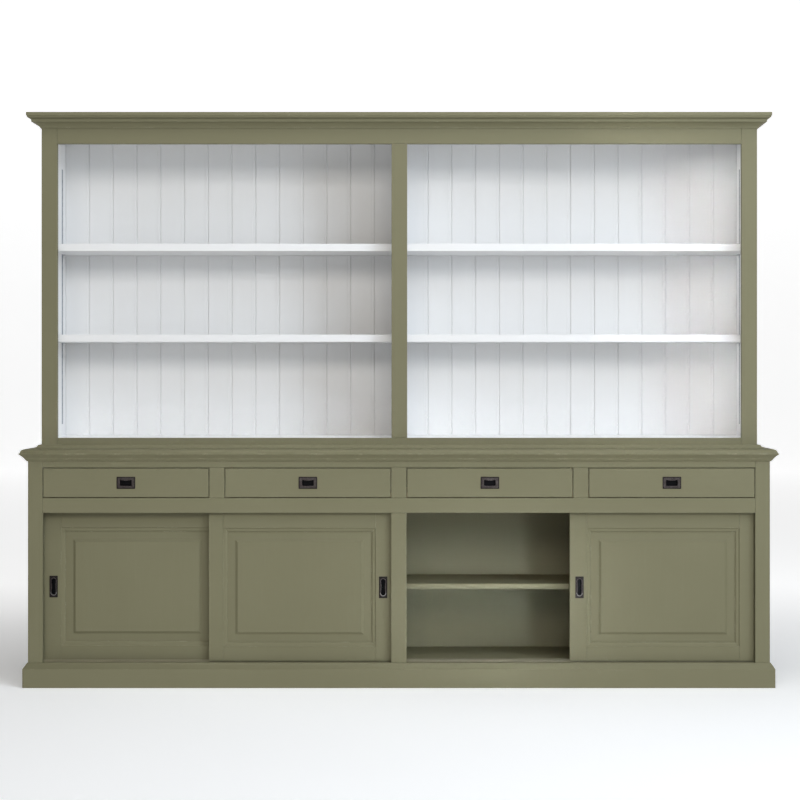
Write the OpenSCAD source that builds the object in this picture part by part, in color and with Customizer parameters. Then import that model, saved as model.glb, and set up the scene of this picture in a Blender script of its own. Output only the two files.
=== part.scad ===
/* [Base cabinet] */
// Width of the base over its outer stiles
base_w = 2832; // [2400:4:3200]
// Depth of the base from the face of its frame to its back
base_d = 470; // [440:5:600]
// Height of the base over its top
base_h = 910; // [860:5:1000]
// Thickness of the base top
top_t = 20; // [18:1:36]
// Overhang of the base top at the front and the ends
top_overhang = 30; // [28:1:45]
// Thickness of the carcass boards
side_t = 20; // [16:1:28]
// Thickness of the dividers and partitions
divider_t = 24; // [22:1:30]
// Thickness of the floor and deck boards
board_t = 22; // [18:1:28]
// Thickness of the base shelves
base_shelf_t = 20; // [16:1:28]
// Thickness of the base back
back_t = 12; // [6:1:16]

/* [Plinth] */
// Height of the plinth, which is also the height of the base floor
plinth_h = 94; // [80:1:130]
// Thickness of the plinth boards, which is how far they stand proud
plinth_t = 18; // [16:1:26]
// Depth of the chamfer along the top edge of the plinth
plinth_chamfer = 15; // [6:1:15]
// Height of the chamfer along the top edge of the plinth
plinth_chamfer_h = 22; // [6:1:30]
// Number of bearers across under the floor
bearer_count = 5; // [3:1:7]

/* [Face frames] */
// Thickness of the frame boards
frame_t = 24; // [18:1:30]
// Width of the outer stiles of the base
base_stile_w = 56; // [50:1:80]
// Width of the centre stile and the mullions of the base
mullion_w = 58; // [50:1:80]
// Height of the rail under the base top
base_top_rail_h = 51; // [40:1:70]
// Height of the rail between the drawers and the doors
middle_rail_h = 57; // [50:1:80]
// Height of the rail behind the plinth
bottom_rail_h = 56; // [40:1:70]
// Height of the drawer openings
drawer_opening_h = 116; // [100:1:140]
// Width of the stiles of the hutch
hutch_stile_w = 60; // [50:1:80]
// Height of the bottom rail of the hutch, whose top is level with its floor
hutch_bottom_rail_h = 40; // [34:1:60]
// Height of the top rail of the hutch that shows under the cornice
hutch_rail_show = 60; // [40:1:90]
// Hairline left at each joint where frame boards or mouldings meet
joint_line = 0.6; // [0.3:0.1:1]

/* [Doors] */
// How far the two doors of a bay lap past each other when the bay is closed
door_overlap = 67; // [40:1:90]
// Thickness of a door frame
door_t = 22; // [20:1:26]
// Width of the stile that holds the pull
handle_stile_w = 65; // [60:1:75]
// Width of the other stile
plain_stile_w = 54; // [50:1:70]
// Height of the bottom rail
door_bottom_rail_h = 54; // [50:1:75]
// Height of the top rail
door_top_rail_h = 71; // [60:1:85]
// Width of the moulded edge round the panel
sticking_w = 17; // [14:1:20]
// Gap under a door
door_floor_gap = 4; // [3:0.5:5]
// How far a closed door reaches behind the frame round its bay
door_lap = 5; // [3:1:8]
// How far the top of a door reaches up behind the middle rail
door_top_lap = 12; // [8:1:20]
// Gap between the face frame and the front door
door_front_gap = 2; // [2:0.5:4]
// Gap between the front and the rear door
door_pass_gap = 6; // [5:0.5:9]
// Distance that the front right-hand door stands short of its stop
door_short_of_stop = 7; // [0:1:20]

/* [Door panels] */
// Thickness of the tongue round the panel
panel_tongue_t = 6; // [5:0.5:7]
// Depth of the tongue in its groove
panel_tongue_d = 8; // [6:0.5:9]
// Width of the sloping margin round the raised field
panel_margin_w = 29; // [20:1:40]
// Width of the step up to the raised field
panel_step_w = 9; // [6:1:14]
// Depth of the raised field behind the face of the door
field_recess = 3; // [1:0.5:5]

/* [Tracks] */
// Thickness of the tongue along the top of a door
top_tongue_t = 8; // [6:1:10]
// Height of the tongue along the top of a door
top_tongue_h = 11; // [9:1:13]
// Gap between the shoulders of a door and the upper guide
guide_gap = 3; // [2:0.5:5]
// Width of the rib that a door runs on
rib_w = 5; // [4:0.5:7]
// Height of the rib that a door runs on
rib_h = 7; // [6:0.5:9]
// Width of the foot of the rib
rib_foot_w = 16; // [14:1:18]
// Height of the track stops
stop_h = 20; // [14:1:30]
// Running gap beside a tongue or a rib
run_gap = 0.5; // [0.3:0.1:1]
// Gap between a piece and what it rests on
seat_gap = 0.3; // [0.2:0.1:0.4]

/* [Drawers] */
// Thickness of a drawer front
drawer_front_t = 20; // [18:1:24]
// Gap round a drawer front
drawer_gap = 3; // [2:0.5:4]
// Length of a drawer box behind its front
drawer_box_l = 390; // [330:5:395]
// Height of a drawer box
drawer_box_h = 84; // [70:1:95]
// Thickness of the sides and the back of a drawer box
drawer_side_t = 12; // [10:1:16]
// Thickness of a drawer bottom
drawer_bottom_t = 6; // [4:0.5:9]
// Gap between a drawer box and the edge of its opening
drawer_box_gap = 9; // [6:1:14]
// Height of the strips that guide a drawer box
drawer_guide_h = 20; // [14:1:30]

/* [Pulls] */
// Width of a drawer pull
drawer_pull_w = 71; // [60:1:80]
// Height of a drawer pull
drawer_pull_h = 46; // [40:1:54]
// Width of the mouth of a drawer pull
drawer_mouth_w = 45; // [38:1:50]
// Height of the mouth of a drawer pull
drawer_mouth_h = 24; // [20:1:28]
// Droop of the upper lip of a drawer pull
lip_droop = 3.5; // [1:0.5:5]
// How far the cup of a drawer pull reaches up behind its lip
lip_undercut = 6; // [4:0.5:7]
// Width of a door pull
door_pull_w = 32; // [28:1:36]
// Height of a door pull
door_pull_h = 83; // [74:1:92]
// Width of the mouth of a door pull at its round ends
door_mouth_w = 18; // [16:0.5:20]
// Height of the mouth of a door pull
door_mouth_h = 64; // [54:1:70]
// How much the mouth of a door pull narrows at each side of its waist
mouth_waist = 1.5; // [0:0.25:2.5]
// Distance from the outer edge of a door to the middle of its pull
door_pull_inset = 37; // [34:0.5:40]
// Thickness of a pull plate
pull_plate_t = 1.4; // [1:0.2:2]
// Height of the raised rim on a pull plate
pull_rim_t = 1; // [0.4:0.2:1.4]
// Depth of the cup of a pull behind the face of the wood
pull_cup_d = 11; // [9:0.5:12]
// Wall of the cup of a pull
pull_wall = 1.2; // [1:0.1:1.6]

/* [Hutch] */
// Height of the whole cabinet
total_h = 2200; // [2060:10:2350]
// Depth of the hutch
hutch_d = 395; // [340:5:430]
// Distance of the hutch end from the base end
hutch_inset = 37; // [30:1:70]
// Height of the cornice
cornice_h = 56; // [50:1:70]
// Projection of the cornice
cornice_p = 50; // [40:1:60]
// Height of the foot moulding
foot_h = 14; // [10:1:20]
// Projection of the foot moulding
foot_p = 22; // [16:1:28]
// Thickness of the back boards
back_board_t = 12; // [10:1:16]
// Number of back boards in each bay
back_board_count = 14; // [10:1:18]

/* [Shelves] */
// Thickness of the hutch shelves
hutch_shelf_t = 28; // [22:1:36]
// Underside of the lower hutch shelves above the floor of the hutch
lower_shelf_up = 372; // [250:4:480]
// Underside of the upper hutch shelves above the floor of the hutch
upper_shelf_up = 726; // [620:4:900]
// Distance from the face frame back to the front edge of the hutch shelves
hutch_shelf_setback = 61; // [20:1:100]
// Underside of the base shelves above the floor of the base
base_shelf_up = 272; // [180:2:400]
// Gap at the ends and the back of a shelf
shelf_gap = 1.5; // [1:0.5:3]
// Width of the slotted standards
standard_w = 27; // [20:1:34]
// Thickness of the slotted standards
standard_t = 3; // [2:0.5:4]
// Length of the slotted standards
standard_l = 1022; // [800:2:1100]
// Height of the foot of the standards above the floor of the hutch
standard_up = 46; // [30:2:80]
// Spacing of the slots
slot_pitch = 32; // [25:1:40]
// Reach of a clip under a shelf
clip_reach = 11; // [9:1:16]
// Width of a clip
clip_w = 16; // [12:1:22]
// Radius of the pins under the base shelves
pin_r = 2.5; // [2:0.25:4]
// Spacing of the pin holes
pin_pitch = 32; // [25:1:40]

/* [Hidden] */
// Arcs are true arcs at this setting.
$fn = 48;
// A hole is this much larger in radius than what it holds.
bore_gap = 0.05;
// Cuts run this far past the faces that they open.
cut = 1;

// Colours, as the photograph shows them
GREEN = [0.47, 0.46, 0.36];
WHITE = [0.90, 0.90, 0.91];
BRONZE = [0.16, 0.14, 0.13];
STEEL = [0.70, 0.72, 0.75];
PLAIN_WOOD = [0.79, 0.66, 0.47];
TRACK = [0.30, 0.30, 0.24];

// The face of the base frame lies at this Y, which centres the whole depth on the origin.
face_y = -(base_d - top_overhang) / 2;

// Base, across
half_w = base_w / 2;
base_in = half_w - side_t;
opening_out = half_w - base_stile_w;
opening_in = mullion_w / 2;
drawer_opening_w = (opening_out - opening_in - mullion_w) / 2;
mullion_x = opening_in + drawer_opening_w + mullion_w / 2;
wall_in = divider_t / 2;

// Base, upwards
top_z = base_h - top_t;
drawer_top_z = top_z - base_top_rail_h;
deck_z = drawer_top_z - drawer_opening_h;
middle_rail_z = deck_z - middle_rail_h;
deck_under = deck_z - board_t;
floor_under = plinth_h - board_t;
base_back_y = base_d - back_t;

// Height and projection of the moulding under the base top
top_cove_h = 27;
top_cove_p = 28;

// Doors
front_door_y = frame_t + door_front_gap;
rear_door_y = front_door_y + door_t + door_pass_gap;
door_z = plinth_h + door_floor_gap;
door_shoulder_z = middle_rail_z + door_top_lap;
door_h = door_shoulder_z - door_z;
track_back_y = rear_door_y + door_t + door_pass_gap;
door_out = opening_out + door_lap;
door_in = opening_in - door_lap;
door_w = (door_out - door_in + door_overlap) / 2;
door_travel = door_out - door_in - door_w;
guide_z = door_shoulder_z + guide_gap;
guide_groove_h = top_tongue_h - guide_gap + 2 * run_gap;
// The four doors from left to right: left edge, side of the pull (-1 left, 1 right) and track depth
DOORS = [
    [-door_out, -1, rear_door_y],
    [-door_in - door_w, 1, front_door_y],
    [door_out - door_short_of_stop - door_w, -1, front_door_y],
    [door_out - door_w, 1, rear_door_y]
];

// Moulded edge and panel groove of the door frames, measured back from the face
sticking_quirk = 0.8;
sticking_cove_w = 6;
sticking_cove_d = 4;
sticking_flat_w = 2;
sticking_toe_w = 1;
sticking_d = 9.5;
joint_cut_d = sticking_d + 0.5;
groove_front = 11;
groove_d = panel_tongue_d + 1;
panel_fit = 0.2;
panel_tongue_y = groove_front + panel_fit;
panel_margin_y = 9.2;
// Height of the middle of the panel, where the pull is
door_mid = (door_bottom_rail_h + door_h - door_top_rail_h) / 2;

// Drawers
drawer_front_w = drawer_opening_w - 2 * drawer_gap;
drawer_front_h = drawer_opening_h - 2 * drawer_gap;
drawer_box_w = drawer_opening_w - 2 * drawer_box_gap;
drawer_box_z = deck_z + seat_gap;
drawer_bottom_up = 8;
DRAWER_X = [
    -mullion_x - (mullion_w + drawer_opening_w) / 2,
    -mullion_x + (mullion_w + drawer_opening_w) / 2,
    mullion_x - (mullion_w + drawer_opening_w) / 2,
    mullion_x + (mullion_w + drawer_opening_w) / 2
];

// Hutch
hutch_half = half_w - hutch_inset;
hutch_in = hutch_half - side_t;
hutch_y = base_d - hutch_d;
hutch_frame_y = hutch_y + frame_t;
hutch_back_y = base_d - back_board_t;
hutch_floor_z = base_h + hutch_bottom_rail_h;
cornice_z = total_h - cornice_h;
hutch_opening_z = cornice_z - hutch_rail_show;
hutch_top_z = total_h - board_t;
shelf_y = hutch_frame_y + hutch_shelf_setback;
SHELF_Z = [hutch_floor_z + lower_shelf_up, hutch_floor_z + upper_shelf_up];
base_shelf_z = plinth_h + base_shelf_up;
base_shelf_y = track_back_y + 10;
board_pitch = (hutch_in - wall_in) / back_board_count;

// Shelf standards stand in from the front and the back of the shelves by these amounts.
standard_in_front = 45;
standard_in_back = 67;
STANDARD_Y = [shelf_y + standard_in_front, hutch_back_y - standard_in_back];
standard_z = hutch_floor_z + standard_up;
slot_w = 5;
slot_h = 14;
slot_count = floor((standard_l - slot_pitch) / slot_pitch);
clip_t = 1.6;
clip_drop = 14;

// Base shelf pins
pin_l = 18;
pin_in_wall = 10;
pin_rows = 5;
pin_in_front = 50;
pin_in_back = 50;
PIN_Y = [base_shelf_y + pin_in_front, base_back_y - pin_in_back];

// Screws through the floor of the hutch into the base top
screw_r = 2.25;
screw_head_r = 4.5;
screw_head_h = 3;
screw_in_top = 18;
screw_in = 60;
SCREW_X = [-hutch_in + screw_in, -wall_in - screw_in, wall_in + screw_in, hutch_in - screw_in];
SCREW_Y = [shelf_y, hutch_back_y - standard_in_back];

function node_name(kind, i, piece) = str(kind, "_", i + 1, "_", piece);

CARCASS_NODES = [
    "plinth_front", "plinth_ends", "plinth_bearers", "base_side_left", "base_side_right",
    "base_divider", "drawer_partitions", "base_floor", "drawer_deck", "base_back",
    "base_stiles", "base_rails", "drawer_mullions", "base_shelves", "base_shelf_pins",
    "door_guides_upper", "door_tracks_lower", "drawer_guides", "base_top", "base_top_cove"
];
HUTCH_NODES = [
    "hutch_side_left", "hutch_side_right", "hutch_divider", "hutch_floor", "hutch_top",
    "hutch_stiles", "hutch_top_rail", "hutch_bottom_rail", "cornice", "foot_moulding",
    "back_boards_left", "back_boards_right", "hutch_shelves", "shelf_standards",
    "shelf_clips", "joining_screws"
];
DOOR_PIECES = ["frame", "panel", "pull"];
DRAWER_PIECES = ["front", "box", "pull"];

// A board from corner to corner. Its depths are measured back from the face of the base frame.
module board(x, y, z) {
    translate([x[0], face_y + y[0], z[0]])
        cube([x[1] - x[0], y[1] - y[0], z[1] - z[0]]);
}

// The piece and its twin at the other end of the cabinet
module both_ends() {
    children();
    mirror([1, 0, 0]) children();
}

// A flat shape, drawn as depth and height, drawn out along X from one place to another
module run_x(x) {
    translate([x[0], face_y, 0])
        rotate([90, 0, 90]) linear_extrude(x[1] - x[0]) children();
}

// A flat shape, drawn as width and height, drawn out along the depth
module run_y(y) {
    translate([0, face_y + y[1], 0])
        rotate([90, 0, 0]) linear_extrude(y[1] - y[0]) children();
}

// A flat shape, drawn as width and depth, drawn out upwards
module run_z(z) {
    translate([0, face_y, z[0]]) linear_extrude(z[1] - z[0]) children();
}

// Front length of a moulding that stands on a face at depth y, mitred at both ends.
// The child is its section: how far it stands out, and how high.
module moulding_front(half, y, z, p, h) {
    intersection() {
        run_x([-half - p, half + p]) translate([y, z]) mirror([1, 0]) children();
        run_z([z, z + h]) polygon([[-half, y], [half, y], [half + p, y - p], [-half - p, y - p]]);
    }
}

// End length of the same moulding, at the right, mitred at its front
module moulding_end(half, y, z, p, h, y_back) {
    intersection() {
        run_y([y - p, y_back]) translate([half, z]) children();
        run_z([z, z + h]) polygon([[half, y], [half + p, y - p], [half + p, y_back], [half, y_back]]);
    }
}

// The same moulding along the front and both ends, with a hairline at each mitre
module moulding_round(half, y, z, p, h, y_back) {
    moulding_front(half - joint_line, y, z, p, h) children();
    both_ends() moulding_end(half, y, z, p, h, y_back) children();
}

// Section of an ovolo on a foot that stands out by foot, rising from the height z by its radius
module ovolo(foot, r, z) {
    translate([0, z]) square([foot, r]);
    intersection() {
        translate([foot - cut, z]) square([r + cut, r]);
        translate([foot, z + r]) circle(r = r);
    }
}

// Points of a rectangle with round corners, round the origin
function round_rect(w, h, r) = [
    for (c = [[1, 1, 0], [-1, 1, 90], [-1, -1, 180], [1, -1, 270]])
        for (a = [0:22.5:90])
            [c[0] * (w / 2 - r) + r * cos(c[2] + a), c[1] * (h / 2 - r) + r * sin(c[2] + a)]
];

// Section of the plinth
module plinth_section() {
    polygon([
        [0, 0], [plinth_t, 0], [plinth_t, plinth_h - plinth_chamfer_h],
        [plinth_t - plinth_chamfer, plinth_h], [0, plinth_h]
    ]);
}

module plinth_front() {
    color(GREEN) moulding_front(half_w - joint_line, 0, 0, plinth_t, plinth_h) plinth_section();
}

module plinth_ends() {
    color(GREEN) both_ends()
        moulding_end(half_w, 0, 0, plinth_t, plinth_h, base_d) plinth_section();
}

// A rear board along the floor, and the bearers across in front of it
module plinth_bearers() {
    rear_y = base_back_y - board_t;
    span = 2 * base_in / (bearer_count + 1);
    color(PLAIN_WOOD) {
        board([-base_in, base_in], [rear_y, base_back_y], [0, floor_under]);
        for (i = [1:bearer_count])
            board(
                [-base_in + i * span - board_t / 2, -base_in + i * span + board_t / 2],
                [frame_t, rear_y - joint_line],
                [0, floor_under]
            );
    }
}

// Holes in a wall for the shelf pins. The wall's face is at X, and side says which way it faces.
module pin_holes(x, side) {
    for (y = PIN_Y)
        for (i = [-(pin_rows - 1) / 2:(pin_rows - 1) / 2])
            translate([x + side * cut, face_y + y, base_shelf_z - pin_r + i * pin_pitch])
                rotate([0, -side * 90, 0])
                    cylinder(r = pin_r + bore_gap, h = pin_in_wall + cut + bore_gap);
}

module base_side_right() {
    color(GREEN) difference() {
        board([base_in, half_w], [frame_t, base_d], [0, top_z]);
        pin_holes(base_in, -1);
    }
}

module base_side_left() {
    mirror([1, 0, 0]) base_side_right();
}

module base_divider() {
    color(GREEN) difference() {
        board([-wall_in, wall_in], [frame_t, base_back_y], [plinth_h, deck_under]);
        pin_holes(wall_in, 1);
        mirror([1, 0, 0]) pin_holes(wall_in, 1);
    }
}

module drawer_partitions() {
    color(PLAIN_WOOD)
        for (x = [-mullion_x, 0, mullion_x])
            board([x - wall_in, x + wall_in], [frame_t, base_back_y], [deck_z, top_z]);
}

module base_floor() {
    color(GREEN) board([-base_in, base_in], [frame_t, base_back_y], [floor_under, plinth_h]);
}

module drawer_deck() {
    color(PLAIN_WOOD) board([-base_in, base_in], [frame_t, base_back_y], [deck_under, deck_z]);
}

module base_back() {
    color(GREEN) board([-base_in, base_in], [base_back_y, base_d], [floor_under, top_z]);
}

module base_stiles() {
    color(GREEN) {
        both_ends() board([opening_out, half_w], [0, frame_t], [0, top_z]);
        board(
            [-opening_in, opening_in],
            [0, frame_t],
            [plinth_h + joint_line, middle_rail_z - joint_line]
        );
    }
}

module base_rails() {
    end = opening_out - joint_line;
    color(GREEN) {
        board([-end, end], [0, frame_t], [drawer_top_z, top_z]);
        board([-end, end], [0, frame_t], [middle_rail_z, deck_z]);
        board([-end, end], [0, frame_t], [plinth_h - bottom_rail_h, plinth_h]);
    }
}

module drawer_mullions() {
    color(GREEN)
        for (x = [-mullion_x, 0, mullion_x])
            board(
                [x - mullion_w / 2, x + mullion_w / 2],
                [0, frame_t],
                [deck_z + joint_line, drawer_top_z - joint_line]
            );
}

module base_shelves() {
    color(GREEN) both_ends()
        board(
            [wall_in + shelf_gap, base_in - shelf_gap],
            [base_shelf_y, base_back_y - shelf_gap],
            [base_shelf_z, base_shelf_z + base_shelf_t]
        );
}

// Pins in the middle row of holes, under the ends of the base shelves
module base_shelf_pins() {
    color(STEEL) both_ends()
        for (y = PIN_Y)
            for (x = [wall_in - pin_in_wall, base_in + pin_in_wall - pin_l])
                translate([x, face_y + y, base_shelf_z - pin_r])
                    rotate([0, 90, 0]) cylinder(r = pin_r, h = pin_l);
}

// One grooved guide over each bay, which the tongues of the doors run in
module door_guides_upper() {
    groove_w = top_tongue_t + 2 * run_gap;
    color(GREEN) both_ends() difference() {
        board([wall_in, base_in], [frame_t, track_back_y], [guide_z, deck_under]);
        for (y = [front_door_y, rear_door_y])
            board(
                [wall_in - cut, base_in + cut],
                [y + (door_t - groove_w) / 2, y + (door_t + groove_w) / 2],
                [guide_z - cut, guide_z + guide_groove_h]
            );
    }
}

// Section of a rib on its foot, standing on the floor under a door at depth y
module rib_section(y) {
    foot_t = 1.5;
    translate([y + door_t / 2, plinth_h]) {
        translate([-rib_foot_w / 2, 0]) square([rib_foot_w, foot_t]);
        translate([-rib_w / 2, 0]) square([rib_w, rib_h]);
    }
}

// A rib under each door, and a stop at each end of it
module door_tracks_lower() {
    color(TRACK) both_ends()
        for (y = [front_door_y, rear_door_y]) {
            run_x([wall_in, base_in]) rib_section(y);
            for (x = [[wall_in, door_in - seat_gap], [door_out + seat_gap, base_in]])
                board(
                    x,
                    [y + (door_t - rib_foot_w) / 2, y + (door_t + rib_foot_w) / 2],
                    [plinth_h, plinth_h + stop_h]
                );
        }
}

// A strip on the deck at each side of each drawer box
module drawer_guides() {
    side_x = drawer_box_w / 2 + run_gap;
    strip_l = drawer_box_l - 20;
    wall_x = (drawer_opening_w + mullion_w) / 2 - wall_in;
    color(PLAIN_WOOD)
        for (x = DRAWER_X)
            for (side = [-1, 1])
                board(
                    [min(x + side * side_x, x + side * wall_x), max(x + side * side_x, x + side * wall_x)],
                    [frame_t, frame_t + strip_l],
                    [deck_z, deck_z + drawer_guide_h]
                );
}

// Moulded edge of the base top: a lip, a ledge and a quarter round under a small quirk
module top_edge_section(reach) {
    lip_h = 4;
    ledge = 4;
    quirk = 0.5;
    round_r = top_t - lip_h - quirk;
    round_x = reach - ledge - round_r;
    square([reach, lip_h]);
    square([round_x, top_t]);
    intersection() {
        translate([round_x - cut, 0]) square([round_r + cut, top_t]);
        translate([round_x, lip_h]) circle(r = round_r);
    }
}

module base_top() {
    half = half_w + top_overhang;
    color(GREEN) difference() {
        intersection() {
            run_x([-half, half])
                translate([base_d, top_z]) mirror([1, 0]) top_edge_section(base_d + top_overhang);
            run_y([-top_overhang, base_d]) translate([0, top_z]) {
                top_edge_section(half);
                mirror([1, 0]) top_edge_section(half);
            }
        }
        at_screws(base_h - screw_in_top - bore_gap)
            cylinder(r = screw_r + bore_gap, h = screw_in_top + cut);
    }
}

// Section of the moulding under the base top: a swelling foot, a fillet and a hollow under a band
module top_cove_section() {
    foot = 2;
    swell_p = 9;
    swell_h = 9;
    swell_d = 1;
    fillet_p = 12;
    fillet_h = 3;
    quirk = 1;
    band_h = 1.5;
    hollow_d = 1;
    hollow_z = swell_h + fillet_h;
    hollow_x = fillet_p + quirk;
    hollow_w = top_cove_p - hollow_x;
    hollow_h = top_cove_h - band_h - hollow_z;
    polygon(concat(
        [[0, 0]],
        [
            for (t = [0:0.2:1])
                [foot + swell_p * t + 4 * swell_d * t * (1 - t), swell_h * t]
        ],
        [[fillet_p, swell_h], [fillet_p, hollow_z]],
        [
            for (t = [0:0.2:1])
                [hollow_x + hollow_w * t, hollow_z + hollow_h * t + 4 * hollow_d * t * (1 - t)]
        ],
        [[top_cove_p, top_cove_h], [0, top_cove_h]]
    ));
}

module base_top_cove() {
    color(GREEN)
        moulding_round(half_w, 0, top_z - top_cove_h, top_cove_p, top_cove_h, base_d)
            top_cove_section();
}

// Cuts in a wall for two standards. The wall's face is at X, and side says which way it faces.
module standard_grooves(x, side) {
    for (y = STANDARD_Y)
        translate([x + (side > 0 ? -standard_t : -cut), face_y + y - standard_w / 2, standard_z])
            cube([standard_t + cut, standard_w, standard_l]);
}

module hutch_side_right() {
    color(GREEN) difference() {
        board([hutch_in, hutch_half], [hutch_frame_y, base_d], [base_h, total_h]);
        standard_grooves(hutch_in, -1);
    }
}

module hutch_side_left() {
    mirror([1, 0, 0]) hutch_side_right();
}

module hutch_divider() {
    color(WHITE) difference() {
        board([-wall_in, wall_in], [hutch_frame_y, base_d], [hutch_floor_z, hutch_top_z]);
        standard_grooves(wall_in, 1);
        mirror([1, 0, 0]) standard_grooves(wall_in, 1);
    }
}

// Places of the screws that join the hutch to the base, at the level z
module at_screws(z) {
    for (x = SCREW_X)
        for (y = SCREW_Y)
            translate([x, face_y + y, z]) children();
}

module hutch_floor() {
    color(WHITE) difference() {
        board(
            [-hutch_in, hutch_in],
            [hutch_frame_y, hutch_back_y],
            [hutch_floor_z - board_t, hutch_floor_z]
        );
        at_screws(hutch_floor_z - board_t - cut)
            cylinder(r = screw_r + bore_gap, h = board_t + 2 * cut);
        at_screws(hutch_floor_z - screw_head_h)
            cylinder(r = screw_head_r + bore_gap, h = screw_head_h + cut);
    }
}

module joining_screws() {
    shank_z = base_h - screw_in_top;
    color(STEEL) {
        at_screws(shank_z) cylinder(r = screw_r, h = hutch_floor_z - shank_z);
        at_screws(hutch_floor_z - screw_head_h) cylinder(r = screw_head_r, h = screw_head_h);
    }
}

module hutch_top() {
    color(GREEN) board([-hutch_in, hutch_in], [hutch_frame_y, base_d], [hutch_top_z, total_h]);
}

module hutch_stiles() {
    color(GREEN) {
        both_ends()
            board([hutch_half - hutch_stile_w, hutch_half], [hutch_y, hutch_frame_y], [base_h, total_h]);
        board(
            [-hutch_stile_w / 2, hutch_stile_w / 2],
            [hutch_y, hutch_frame_y],
            [hutch_floor_z + joint_line, hutch_opening_z - joint_line]
        );
    }
}

module hutch_rail(z) {
    end = hutch_half - hutch_stile_w - joint_line;
    color(GREEN) board([-end, end], [hutch_y, hutch_frame_y], z);
}

module hutch_top_rail() {
    hutch_rail([hutch_opening_z, total_h]);
}

module hutch_bottom_rail() {
    hutch_rail([base_h, hutch_floor_z]);
}

// Section of the cornice: bead, hollow, fillet, ovolo and fascia. The hollow takes up what the
// others leave.
module cornice_section() {
    bead_p = 5;
    bead_h = 4;
    fillet_h = 12;
    fascia_h = 12;
    ovolo_r = 11;
    hollow_d = 3;
    quirk = 2;
    hollow_h = cornice_h - bead_h - fillet_h - ovolo_r - fascia_h;
    ovolo_foot = cornice_p - quirk - ovolo_r;
    fillet_p = ovolo_foot - 2 * quirk;
    hollow_w = fillet_p - quirk - bead_p;
    fillet_z = bead_h + hollow_h;
    ovolo_z = fillet_z + fillet_h;
    polygon(concat(
        [[0, 0], [bead_p, 0]],
        [
            for (t = [0:0.125:1])
                [bead_p + hollow_w * t, bead_h + hollow_h * t + 4 * hollow_d * t * (1 - t)]
        ],
        [[0, fillet_z]]
    ));
    translate([0, fillet_z]) square([fillet_p, fillet_h]);
    ovolo(ovolo_foot, ovolo_r, ovolo_z);
    translate([0, ovolo_z + ovolo_r]) square([cornice_p, fascia_h]);
}

module cornice() {
    color(GREEN)
        moulding_round(hutch_half, hutch_y, cornice_z, cornice_p, cornice_h, base_d)
            cornice_section();
}

// Section of the moulding at the foot of the hutch: a flat and an ogee down to a lip
module foot_section() {
    lip_h = 2;
    flat_p = 9;
    ogee_p = foot_p - 1 - flat_p;
    polygon(concat(
        [[0, 0], [foot_p, 0], [foot_p, lip_h]],
        [
            for (a = [180:-20:0])
                [flat_p + ogee_p * a / 180, lip_h + (foot_h - lip_h) * (1 + cos(a)) / 2]
        ],
        [[0, foot_h]]
    ));
}

module foot_moulding() {
    color(GREEN)
        moulding_round(hutch_half, hutch_y, base_h, foot_p, foot_h, base_d) foot_section();
}

// Section of one back board, as width and depth from its face: a chamfer at each edge,
// a bead beside its right edge, a groove in its left edge and a tongue on its right edge
module back_board_section() {
    gap = 0.8;
    chamfer = 2.2;
    tongue_t = 4;
    tongue_d = 6;
    fit = 0.2;
    bead_w = 8;
    quirk_w = 1.6;
    quirk_d = 1.4;
    w = board_pitch - gap;
    t = back_board_t;
    front = (t - tongue_t) / 2;
    back = (t + tongue_t) / 2;
    bead_x = w - chamfer - bead_w;
    polygon([
        [0, chamfer], [chamfer, 0],
        [bead_x - quirk_w, 0], [bead_x - quirk_w / 2, quirk_d], [bead_x, 0],
        [w - chamfer, 0], [w, chamfer],
        [w, front], [w + tongue_d, front], [w + tongue_d, back], [w, back],
        [w, t], [0, t],
        [0, back + fit], [tongue_d + fit, back + fit], [tongue_d + fit, front - fit], [0, front - fit]
    ]);
}

// The back boards of the bay that starts at X. The last board has no tongue.
module back_boards(x) {
    color(WHITE)
        for (i = [0:back_board_count - 1])
            intersection() {
                run_z([base_h, hutch_top_z])
                    translate([x + i * board_pitch, hutch_back_y]) back_board_section();
                board(
                    [x - cut, x + hutch_in - wall_in],
                    [hutch_back_y - cut, base_d + cut],
                    [base_h - cut, hutch_top_z + cut]
                );
            }
}

module hutch_shelves() {
    color(WHITE) both_ends()
        for (z = SHELF_Z)
            board(
                [wall_in + shelf_gap, hutch_in - shelf_gap],
                [shelf_y, hutch_back_y - shelf_gap],
                [z, z + hutch_shelf_t]
            );
}

// The steel strip that stands in a groove, with its back at X and its face at X + side * thickness
module standard(x, side, y) {
    margin = (standard_l - (slot_count - 1) * slot_pitch) / 2;
    difference() {
        translate([min(x, x + side * standard_t), face_y + y - standard_w / 2 + panel_fit, standard_z])
            cube([standard_t, standard_w - 2 * panel_fit, standard_l - panel_fit]);
        for (i = [0:slot_count - 1])
            translate([
                min(x, x + side * standard_t) - cut,
                face_y + y - slot_w / 2,
                standard_z + margin + i * slot_pitch - slot_h / 2
            ])
                cube([standard_t + 2 * cut, slot_w, slot_h]);
    }
}

module shelf_standards() {
    color(STEEL) both_ends()
        for (y = STANDARD_Y) {
            standard(wall_in - standard_t, 1, y);
            standard(hutch_in + standard_t, -1, y);
        }
}

// A bent steel clip: one leaf lies on the wall at X, the other under a shelf at Z
module clip(x, side, y, z) {
    translate([x, face_y + y - clip_w / 2, z]) {
        translate([min(0, side * clip_reach), 0, -clip_t]) cube([clip_reach, clip_w, clip_t]);
        translate([min(0, side * clip_t), 0, -clip_drop]) cube([clip_t, clip_w, clip_drop]);
    }
}

module shelf_clips() {
    color(STEEL) both_ends()
        for (y = STANDARD_Y)
            for (z = SHELF_Z) {
                clip(wall_in, 1, y, z);
                clip(hutch_in, -1, y, z);
            }
}

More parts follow.
